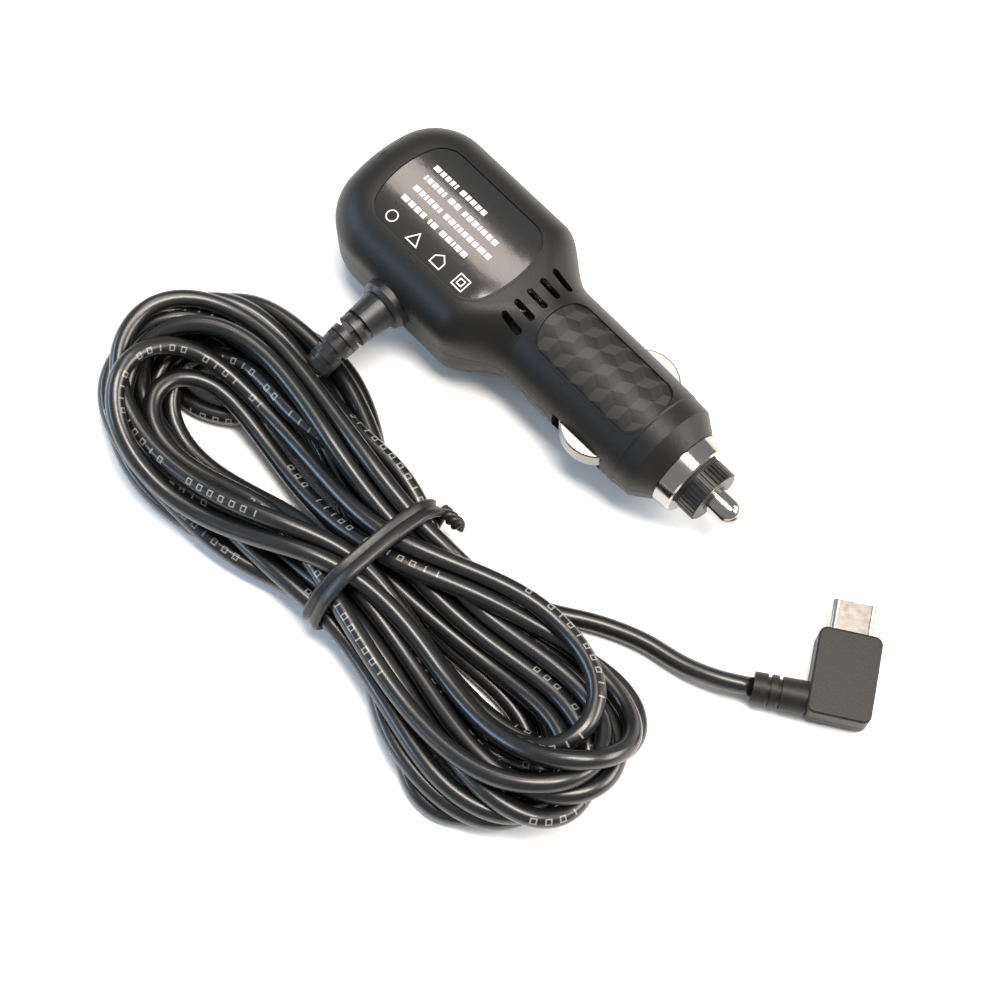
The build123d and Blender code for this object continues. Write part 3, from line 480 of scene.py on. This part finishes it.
cord_pvc, tree, shader = new_material("cord_pvc")
shader.inputs["Specular IOR Level"].default_value = 0.6
shader.inputs["Coat Weight"].default_value = 0.2
shader.inputs["Coat Roughness"].default_value = 0.16
add_grain(tree, shader, 900.0, 0.2, 0.24, 0.38)
uv = tree.nodes.new("ShaderNodeUVMap")
uv.uv_map = "along"
split = tree.nodes.new("ShaderNodeSeparateXYZ")
tree.links.new(uv.outputs["UV"], split.inputs["Vector"])
along, around = split.outputs["X"], split.outputs["Y"]
# the print: frames and strokes in short groups along the top, with chance to say which
FIGURE_PITCH = 0.0024
PRINT_LINE = 0.27  # the share of the way round at which it runs
GROUP_PITCH = 0.107
figure_at = maths(tree, "DIVIDE", along, FIGURE_PITCH)
chance = tree.nodes.new("ShaderNodeTexWhiteNoise")
chance.noise_dimensions = "1D"
tree.links.new(maths(tree, "FLOOR", figure_at), chance.inputs["W"])
off_middle = maths(tree, "ABSOLUTE", maths(tree, "SUBTRACT", maths(tree, "FRACT", figure_at), 0.5))
off_line = maths(tree, "ABSOLUTE", maths(tree, "SUBTRACT", around, PRINT_LINE))
# each shape: half its share of the figure's pitch, and half its share of the way round
outer, opening, stroke = [
    maths(
        tree,
        "MULTIPLY",
        maths(tree, "LESS_THAN", off_middle, long),
        maths(tree, "LESS_THAN", off_line, tall),
    )
    for long, tall in ((0.24, 0.058), (0.14, 0.036), (0.06, 0.058))
]
framed = maths(tree, "GREATER_THAN", chance.outputs["Value"], 0.5)
ink = maths(
    tree,
    "ADD",
    maths(tree, "MULTIPLY", framed, maths(tree, "SUBTRACT", outer, opening)),
    maths(tree, "MULTIPLY", maths(tree, "SUBTRACT", 1.0, framed), stroke),
)
for limit in (
    maths(tree, "GREATER_THAN", chance.outputs["Value"], 0.16),
    maths(tree, "LESS_THAN", maths(tree, "FRACT", maths(tree, "DIVIDE", along, GROUP_PITCH)), 0.4),
):
    ink = maths(tree, "MULTIPLY", ink, limit)
ink_mix = tree.nodes.new("ShaderNodeMix")
ink_mix.data_type = "RGBA"
ink_mix.inputs["A"].default_value = (0.0045, 0.0048, 0.0054, 1)
ink_mix.inputs["B"].default_value = (0.20, 0.20, 0.195, 1)
tree.links.new(ink, ink_mix.inputs["Factor"])
tree.links.new(ink_mix.outputs["Result"], shader.inputs["Base Color"])
cord.data.materials.append(cord_pvc)
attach(cord, "housing")
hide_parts("cord_lead", "cord_hank", "cord_tail")

# ---- Tie -------------------------------------------------------------------------------------
# A flat black strip with a steel wire in each edge, bent once round the hank.
# Its two ends are twisted together at the side next to the adapter.

TIE_T = 1.5 * MM  # thickness over its ribs
TIE_CLEAR = 0.08 * MM
TIE_RIB = 1.25 * MM  # from the strip's middle to each wire
TIE_WAIST = 0.27  # half the thickness between the ribs, as a share of TIE_T
UNDER_TIE = 1.8 * MM  # half the length of cord that the strip lies on
TIE_SIDES, FIRST_SIDE = 72, 0.35  # flat sides of the hull, and the first one's angle
OUTLINE_STEP = 0.5 * MM
crossings = []
for here in cord_line[:-1]:
    if abs(here[0] - TIE_X) < UNDER_TIE:
        for k in range(12):
            angle = tau * k / 12
            reach = CORD_R + TIE_CLEAR
            crossings.append((here[1] + reach * cos(angle), here[2] + reach * sin(angle)))
hull_centre = np.mean(crossings, axis=0)
crossings = np.array(crossings)
loop = []
for k in range(TIE_SIDES):
    angle = tau * k / TIE_SIDES + FIRST_SIDE
    out = np.array((cos(angle), sin(angle)))
    reach = ((crossings - hull_centre) @ out).max()
    loop.append((out, reach))
outline = []
for k, (out, reach) in enumerate(loop):
    # the corner where this tangent line meets the next one
    out_2, reach_2 = loop[(k + 1) % len(loop)]
    meet = np.linalg.solve(np.array([out, out_2]), np.array([reach, reach_2]))
    outline.append(hull_centre + meet)
outline = spaced(np.vstack([outline, outline[:1]]), OUTLINE_STEP)[0][:-1]
for _ in range(10):
    outline = (np.roll(outline, 1, axis=0) + 2 * outline + np.roll(outline, -1, axis=0)) / 4
tie_path = []
away = TIE_T / 2 + 0.1 * MM
for before, (y, z), after in zip(np.roll(outline, 1, axis=0), outline, np.roll(outline, -1, axis=0)):
    out = np.array((after[1] - before[1], before[0] - after[0]))
    out /= np.linalg.norm(out)
    tie_path.append((y + out[0] * away, max(z + out[1] * away, away), out))
# the second rib's points run the wrong way round, so the section crosses itself
tie_section = []
for side in (1, -1):
    for k in range(9):
        angle = pi / 2 - side * pi * k / 8
        tie_section.append((side * TIE_RIB + TIE_T / 2 * cos(angle), TIE_T / 2 * sin(angle)))
    tie_section.append((0, -side * TIE_T * TIE_WAIST))
count = len(tie_section)
vertices, faces = [], []
for y, z, out in tie_path:
    for across, up in tie_section:
        vertices.append((TIE_X + across, y + out[0] * up, z + out[1] * up))
for k in range(len(tie_path)):
    after = (k + 1) % len(tie_path)
    for j in range(count):
        following = (j + 1) % count
        faces.append((k * count + j, after * count + j, after * count + following, k * count + following))
tie_mesh = bpy.data.meshes.new("tie")
tie_mesh.from_pydata(vertices, [], faces)
tie_mesh.polygons.foreach_set("use_smooth", [True] * len(faces))
tie = bpy.data.objects.new("tie", tie_mesh)
scene.collection.objects.link(tie)
repair = bmesh.new()
repair.from_mesh(tie_mesh)
bmesh.ops.recalc_face_normals(repair, faces=repair.faces)
repair.to_mesh(tie_mesh)
repair.free()

# the twist leaves the tie where it comes nearest the adapter
start_y, start_z, out = max(tie_path, key=lambda place: place[0])
TWIST_AXIS = Vector((0.95, 0.02, 0.10)).normalized()
TWIST_LENGTH = 5.0 * MM
TWIST_TURNS = 1.8
TWIST_SPREAD = 0.72 * MM  # from the twist's middle to each end's
TIE_END_R = 0.7 * MM
twist_side = TWIST_AXIS.cross(Vector((0, 0, 1))).normalized()
twist_up = twist_side.cross(TWIST_AXIS)
twist_start = Vector((TIE_X + 0.4 * MM, start_y + 0.5 * MM, start_z))
for name, phase in (("tie_end_a", 0.0), ("tie_end_b", pi)):
    line = []
    for k in range(61):
        share = k / 60
        angle = phase + tau * TWIST_TURNS * share
        spread = TWIST_SPREAD * (1 + max(0.0, share - 0.85) * 5)  # the tips splay
        turn = twist_side * cos(angle) + twist_up * sin(angle)
        line.append(twist_start + TWIST_AXIS * (TWIST_LENGTH * share) + turn * spread)
    end = tube(name, line, TIE_END_R, 10)
    end.parent = tie

tie_plastic, tree, shader = new_material("tie_plastic")
shader.inputs["Base Color"].default_value = (0.011, 0.011, 0.012, 1)
add_grain(tree, shader, 1400.0, 0.35, 0.3, 0.5)
for name in ("tie", "tie_end_a", "tie_end_b"):
    bpy.data.objects[name].data.materials.append(tie_plastic)
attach(tie, "housing")
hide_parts("hank_tie")

# ---- Housing ---------------------------------------------------------------------------------
# Two half shells moulded in black ABS with a soft, matt surface, closed by one screw below.
# The split runs round the side at mid-height.


def finish_nodes(material, *names):
    """Puts a material on CAD nodes."""
    for node_name in names:
        for material_slot in nodes[node_name].material_slots:
            material_slot.material = material


housing_plastic, tree, shader = new_material("housing_plastic")
shader.inputs["Base Color"].default_value = (0.0048, 0.0046, 0.0044, 1)
shader.inputs["Specular IOR Level"].default_value = 0.34
shader.inputs["Sheen Weight"].default_value = 0.045
shader.inputs["Sheen Roughness"].default_value = 0.45
shader.inputs["Sheen Tint"].default_value = (0.75, 0.68, 0.62, 1)
add_grain(tree, shader, 2600.0, 0.5, 0.36, 0.58)
finish_nodes(housing_plastic, "upper_shell", "lower_shell")

# ---- Label -----------------------------------------------------------------------------------
# A glossy black label film in the head's shallow recess, lightly crowned, with a printed face.
# The print is rows of plain blocks and four plain signs in white ink.

label_film, tree, shader = new_material("label_film")
shader.inputs["Base Color"].default_value = (0.0085, 0.0083, 0.0082, 1)
shader.inputs["Roughness"].default_value = 0.16
shader.inputs["Coat Weight"].default_value = 0.8
shader.inputs["Coat Roughness"].default_value = 0.1
place = tree.nodes.new("ShaderNodeTexCoord")
ripple = tree.nodes.new("ShaderNodeTexNoise")
ripple.inputs["Scale"].default_value = 420.0
ripple.inputs["Detail"].default_value = 3.0
ripple_bump = tree.nodes.new("ShaderNodeBump")
ripple_bump.inputs["Strength"].default_value = 0.12
ripple_bump.inputs["Distance"].default_value = 0.00012
tree.links.new(place.outputs["Object"], ripple.inputs["Vector"])
tree.links.new(ripple.outputs["Fac"], ripple_bump.inputs["Height"])
tree.links.new(ripple_bump.outputs["Normal"], shader.inputs["Normal"])
tree.links.new(ripple_bump.outputs["Normal"], shader.inputs["Coat Normal"])
finish_nodes(label_film, "rating_label")

label = nodes["rating_label"]
label_surface = BVHTree.FromPolygons(
    [tuple(vertex.co) for vertex in label.data.vertices],
    [tuple(face.vertices) for face in label.data.polygons],
)


def label_point(x, y):
    """The point of the print over this x and y, in mm, just clear of the film."""
    hit = label_surface.ray_cast(Vector((x * MM, y * MM, 0.05)), Vector((0, 0, -1)))[0]
    return (x * MM, y * MM, hit.z + 0.015 * MM)


PRINT_SPAN = 0.9  # longest stretch of print between two points on the film, in mm
print_vertices, print_faces = [], []


def print_block(corners):
    """One printed patch between four corners, in mm, split to follow the film."""
    (ax, ay), (bx, by), (cx, cy), (dx, dy) = corners
    across = max(1, round((abs(bx - ax) + abs(by - ay)) / PRINT_SPAN))
    first = len(print_vertices)
    for k in range(across + 1):
        share = k / across
        print_vertices.append(label_point(ax + (bx - ax) * share, ay + (by - ay) * share))
        print_vertices.append(label_point(dx + (cx - dx) * share, dy + (cy - dy) * share))
    for k in range(across):
        at = first + 2 * k
        print_faces.append((at, at + 2, at + 3, at + 1))


SIGN_LINE = 0.24  # width of the signs' lines


def print_outline(points):
    """A closed line just inside the points, in mm."""
    points = [np.array(point, float) for point in points]
    inner = []
    for k, point in enumerate(points):
        before, after = points[k - 1], points[(k + 1) % len(points)]
        one = (before - point) / np.linalg.norm(before - point)
        two = (after - point) / np.linalg.norm(after - point)
        half = one + two
        half /= np.linalg.norm(half)
        slope = abs(half[0] * one[1] - half[1] * one[0])
        inner.append(point + half * SIGN_LINE / slope)
    for k in range(len(points)):
        after = (k + 1) % len(points)
        print_block([points[k], points[after], inner[after], inner[k]])


BLOCK_HALF = 0.55  # half a block's height
BLOCK_GAP, WORD_GAP = 0.32, 0.75
# rows of blocks: left end, y, block widths; a 0 leaves a gap
for row_x, row_y, widths in (
    (-36.8, 4.7, (1.5, 1.0, 1.0, 0.9, 0.5, 0, 1.2, 0.9, 1.1, 1.1, 1.1)),
    (-36.4, 1.9, (0.5, 1.1, 1.1, 1.0, 0.6, 0, 1.3, 1.2, 0, 0.9, 1.1, 1.2, 0.6, 1.1, 1.1, 1.2)),
    (-36.2, -1.0, (1.4, 1.0, 0.6, 1.0, 1.1, 0.6, 0, 1.1, 1.2, 0.6, 0.8, 1.1, 1.1, 1.1, 1.6, 1.2)),
    (-36.3, -3.9, (1.6, 1.3, 1.3, 1.1, 0, 0.5, 1.3, 0, 1.3, 1.3, 0.5, 1.3, 1.3)),
):
    x = row_x
    for block_width in widths:
        if block_width:
            low, high, right = row_y - BLOCK_HALF, row_y + BLOCK_HALF, x + block_width
            print_block([(x, low), (right, low), (right, high), (x, high)])
        x += block_width + BLOCK_GAP if block_width else WORD_GAP
SIGN_Y = -8.1
# the signs: a ring, a triangle, a house and two nested squares
for corners in (
    [(-34.6 + 1.25 * cos(tau * k / 24), 1.25 * sin(tau * k / 24)) for k in range(24)],
    [(-29.7, -1.3), (-26.5, -1.3), (-28.1, 1.5)],
    [(-23.1, -1.3), (-20.3, -1.3), (-20.3, 0.4), (-21.7, 1.6), (-23.1, 0.4)],
    [(-17.0, -1.4), (-14.2, -1.4), (-14.2, 1.4), (-17.0, 1.4)],
    [(-16.3, -0.7), (-14.9, -0.7), (-14.9, 0.7), (-16.3, 0.7)],
):
    print_outline([(x, SIGN_Y + y) for x, y in corners])
label_print_mesh = bpy.data.meshes.new("label_print")
label_print_mesh.from_pydata(print_vertices, [], print_faces)
label_print = bpy.data.objects.new("label_print", label_print_mesh)
scene.collection.objects.link(label_print)
label_ink, tree, shader = new_material("label_ink")
shader.inputs["Base Color"].default_value = (0.62, 0.62, 0.6, 1)
add_grain(tree, shader, 3000.0, 0.2, 0.35, 0.55)
label_print_mesh.materials.append(label_ink)
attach(label_print, "housing")

# ---- Grip inlay ------------------------------------------------------------------------------
# A printed plastic inlay bonded in the barrel's recess.
# Its face shows rows of cubes in three dark greys.

tumbling_blocks = bpy.data.node_groups.new("tumbling_blocks", "ShaderNodeTree")
tumbling_blocks.interface.new_socket("Size", in_out="INPUT", socket_type="NodeSocketFloat")
tumbling_blocks.interface.new_socket("Face", in_out="OUTPUT", socket_type="NodeSocketFloat")
blocks_in = tumbling_blocks.nodes.new("NodeGroupInput")
blocks_out = tumbling_blocks.nodes.new("NodeGroupOutput")
blocks_place = tumbling_blocks.nodes.new("ShaderNodeTexCoord")
blocks_split = tumbling_blocks.nodes.new("ShaderNodeSeparateXYZ")
tumbling_blocks.links.new(blocks_place.outputs["Object"], blocks_split.inputs["Vector"])
u = maths(tumbling_blocks, "DIVIDE", blocks_split.outputs["X"], blocks_in.outputs["Size"])
v = maths(tumbling_blocks, "DIVIDE", blocks_split.outputs["Y"], blocks_in.outputs["Size"])
# three coordinates 120 degrees apart, whose sum is 0
ways = [
    maths(
        tumbling_blocks,
        "ADD",
        maths(tumbling_blocks, "MULTIPLY", u, cos(a)),
        maths(tumbling_blocks, "MULTIPLY", v, sin(a)),
    )
    for a in (0.0, tau / 3, 2 * tau / 3)
]
cells = [maths(tumbling_blocks, "FLOOR", way) for way in ways]
turned = maths(tumbling_blocks, "ADD", cells[0], maths(tumbling_blocks, "ADD", cells[1], cells[2]))
pointing_up = maths(tumbling_blocks, "GREATER_THAN", turned, -1.5)
third = maths(tumbling_blocks, "FLOORED_MODULO", maths(tumbling_blocks, "SUBTRACT", cells[0], cells[1]), 3.0)
# the rhombus to which this triangle belongs: 0, 2, 1 one way up and 1, 2, 0 the other
face_up = maths(tumbling_blocks, "FLOORED_MODULO", maths(tumbling_blocks, "MULTIPLY", third, 2.0), 3.0)
face_down = maths(tumbling_blocks, "FLOORED_MODULO", maths(tumbling_blocks, "ADD", third, 1.0), 3.0)
mix_up = maths(tumbling_blocks, "MULTIPLY", face_up, pointing_up)
pointing_down = maths(tumbling_blocks, "SUBTRACT", 1.0, pointing_up)
mix_down = maths(tumbling_blocks, "MULTIPLY", face_down, pointing_down)
tumbling_blocks.links.new(maths(tumbling_blocks, "ADD", mix_up, mix_down), blocks_out.inputs["Face"])

inlay_print, tree, shader = new_material("inlay_print")
blocks = tree.nodes.new("ShaderNodeGroup")
blocks.node_tree = tumbling_blocks
blocks.inputs["Size"].default_value = 2.3 * MM
steps = tree.nodes.new("ShaderNodeValToRGB")
steps.color_ramp.interpolation = "CONSTANT"
steps.color_ramp.elements[0].color = (0.0075, 0.0072, 0.0068, 1)
steps.color_ramp.elements[1].position = 0.25
steps.color_ramp.elements[1].color = (0.0155, 0.0145, 0.0135, 1)
brightest = steps.color_ramp.elements.new(0.75)
brightest.color = (0.028, 0.026, 0.024, 1)
tree.links.new(maths(tree, "MULTIPLY", blocks.outputs["Face"], 0.5), steps.inputs["Fac"])
tree.links.new(steps.outputs["Color"], shader.inputs["Base Color"])
shader.inputs["Specular IOR Level"].default_value = 0.3
add_grain(tree, shader, 1800.0, 0.25, 0.42, 0.55)
finish_nodes(inlay_print, "grip_inlay")

# ---- Metal parts -----------------------------------------------------------------------------
# The ring, the pin, the fuse's two caps, the side contacts and the plug's shell are turned or
# pressed, and nickel plated. The screw, the springs and the other metal inside are left plainer.

plated_steel, tree, shader = new_material("plated_steel")
shader.inputs["Base Color"].default_value = (0.42, 0.408, 0.385, 1)
shader.inputs["Metallic"].default_value = 1.0
add_grain(tree, shader, 700.0, 0.02, 0.09, 0.2)
finish_nodes(plated_steel, "retaining_ring", "tip_pin", "fuse_cap_front", "fuse_cap_rear")
contact_plate, tree, shader = new_material("contact_plate")
shader.inputs["Base Color"].default_value = (0.27, 0.258, 0.238, 1)
shader.inputs["Metallic"].default_value = 1.0
add_grain(tree, shader, 500.0, 0.03, 0.14, 0.24)
finish_nodes(contact_plate, "side_contact_left", "side_contact_right")
shell_plate, tree, shader = new_material("shell_plate")
shader.inputs["Base Color"].default_value = (0.50, 0.465, 0.41, 1)
shader.inputs["Metallic"].default_value = 1.0
add_grain(tree, shader, 900.0, 0.02, 0.16, 0.26)
finish_nodes(shell_plate, "plug_shell")
for name, colour, low, high, names in (
    ("screw_steel", (0.30, 0.30, 0.31), 0.3, 0.45, ("shell_screw",)),
    (
        "spring_steel",
        (0.52, 0.52, 0.53),
        0.22,
        0.35,
        ("tip_spring", "contact_spring_left", "contact_spring_right"),
    ),
    ("terminal_brass", (0.72, 0.52, 0.20), 0.25, 0.4, ("spring_terminal",)),
    ("fuse_element", (0.60, 0.60, 0.61), 0.3, 0.4, ("fuse_wire",)),
    ("copper_wire", (0.70, 0.30, 0.12), 0.2, 0.35, ("inductor_winding",)),
    ("capacitor_can", (0.72, 0.72, 0.74), 0.25, 0.35, ("input_capacitor", "output_capacitor")),
    ("contact_gold", (0.83, 0.62, 0.24), 0.2, 0.3, ("plug_contacts",)),
):
    material, tree, shader = new_material(name)
    shader.inputs["Base Color"].default_value = (*colour, 1)
    shader.inputs["Metallic"].default_value = 1.0
    add_grain(tree, shader, 1500.0, 0.2, low, high)
    finish_nodes(material, *names)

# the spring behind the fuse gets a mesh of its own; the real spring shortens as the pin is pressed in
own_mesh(nodes["tip_spring"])

# ---- Cap and seal ----------------------------------------------------------------------------
# A ribbed cap of glass-filled nylon that screws over the pin, and a thin rubber seal behind it.
# Its front face carries a painted highlight: a lighter, mottled grey for the light it catches.

cap_plastic, tree, shader = new_material("cap_plastic")
add_grain(tree, shader, 3200.0, 0.6, 0.34, 0.5)
place = tree.nodes.new("ShaderNodeTexCoord")
split = tree.nodes.new("ShaderNodeSeparateXYZ")
tree.links.new(place.outputs["Object"], split.inputs["Vector"])
# painted highlight: noise that mottles the lighter grey painted on the front face
front_sheen_noise = tree.nodes.new("ShaderNodeTexNoise")
front_sheen_noise.inputs["Scale"].default_value = 1300.0
tree.links.new(place.outputs["Object"], front_sheen_noise.inputs["Vector"])
CAP_FACE_X = 43.3 * MM  # the cap's front face begins here
front = maths(tree, "GREATER_THAN", split.outputs["X"], CAP_FACE_X)
shade = tree.nodes.new("ShaderNodeMix")
shade.data_type = "RGBA"
shade.inputs["A"].default_value = (0.010, 0.010, 0.010, 1)
shade.inputs["B"].default_value = (0.05, 0.048, 0.046, 1)
# painted highlight: only the front face is lightened, standing in for the light falling on it
painted_front_sheen = maths(tree, "MULTIPLY", front, maths(tree, "ADD", front_sheen_noise.outputs["Fac"], 0.2))
tree.links.new(painted_front_sheen, shade.inputs["Factor"])
tree.links.new(shade.outputs["Result"], shader.inputs["Base Color"])
finish_nodes(cap_plastic, "tip_cap")
seal_rubber, tree, shader = new_material("seal_rubber")
shader.inputs["Base Color"].default_value = (0.02, 0.02, 0.02, 1)
add_grain(tree, shader, 2000.0, 0.4, 0.55, 0.7)
finish_nodes(seal_rubber, "cap_seal")

# ---- Inside ----------------------------------------------------------------------------------
# A circuit board with its coil, capacitors and small parts, the fuse in its moulded holder, and
# two wires. All of it is hidden by the shells.

for name, colour, low, high, names in (
    ("holder_plastic", (0.65, 0.63, 0.58), 0.4, 0.5, ("fuse_holder",)),
    ("board_laminate", (0.006, 0.02, 0.010), 0.4, 0.55, ("circuit_board",)),
    ("ferrite", (0.05, 0.05, 0.052), 0.5, 0.65, ("inductor_core",)),
    ("chip_plastic", (0.03, 0.03, 0.032), 0.4, 0.55, ("converter_chip", "chip_parts")),
    ("wire_red", (0.42, 0.015, 0.012), 0.3, 0.4, ("supply_wire",)),
    ("wire_black", (0.012, 0.012, 0.012), 0.3, 0.4, ("return_wire",)),
):
    material, tree, shader = new_material(name)
    shader.inputs["Base Color"].default_value = (*colour, 1)
    add_grain(tree, shader, 1500.0, 0.3, low, high)
    finish_nodes(material, *names)
fuse_glass, tree, shader = new_material("fuse_glass")
shader.inputs["Transmission Weight"].default_value = 1.0
shader.inputs["Base Color"].default_value = (0.95, 0.97, 0.96, 1)
add_grain(tree, shader, 300.0, 0.05, 0.02, 0.06)
finish_nodes(fuse_glass, "fuse_glass")

# ---- Strain relief ---------------------------------------------------------------------------
# A ribbed sleeve of soft PVC moulded on the cord, with a collar that the two shells grip.
# It has a smooth length at its root and notches between the ribs, so that it bends.

relief_pvc, tree, shader = new_material("relief_pvc")
shader.inputs["Base Color"].default_value = (0.008, 0.0085, 0.0095, 1)
add_grain(tree, shader, 1600.0, 0.35, 0.30, 0.46)
finish_nodes(relief_pvc, "strain_relief")

# ---- Plug ------------------------------------------------------------------------------------
# A right-angle plug overmoulded in dark grey-brown PVC with a fine spark-eroded grain.
# The relief is part of the same moulding; the shell holds a black liner with gold contacts.

plug_plastic, tree, shader = new_material("plug_plastic")
shader.inputs["Base Color"].default_value = (0.0095, 0.0083, 0.0075, 1)
shader.inputs["Specular IOR Level"].default_value = 0.3
add_grain(tree, shader, 2400.0, 0.7, 0.36, 0.56)
finish_nodes(plug_plastic, "plug_body", "plug_strain_relief")
liner_plastic, tree, shader = new_material("liner_plastic")
shader.inputs["Base Color"].default_value = (0.012, 0.012, 0.012, 1)
add_grain(tree, shader, 1500.0, 0.3, 0.4, 0.5)
finish_nodes(liner_plastic, "plug_liner")
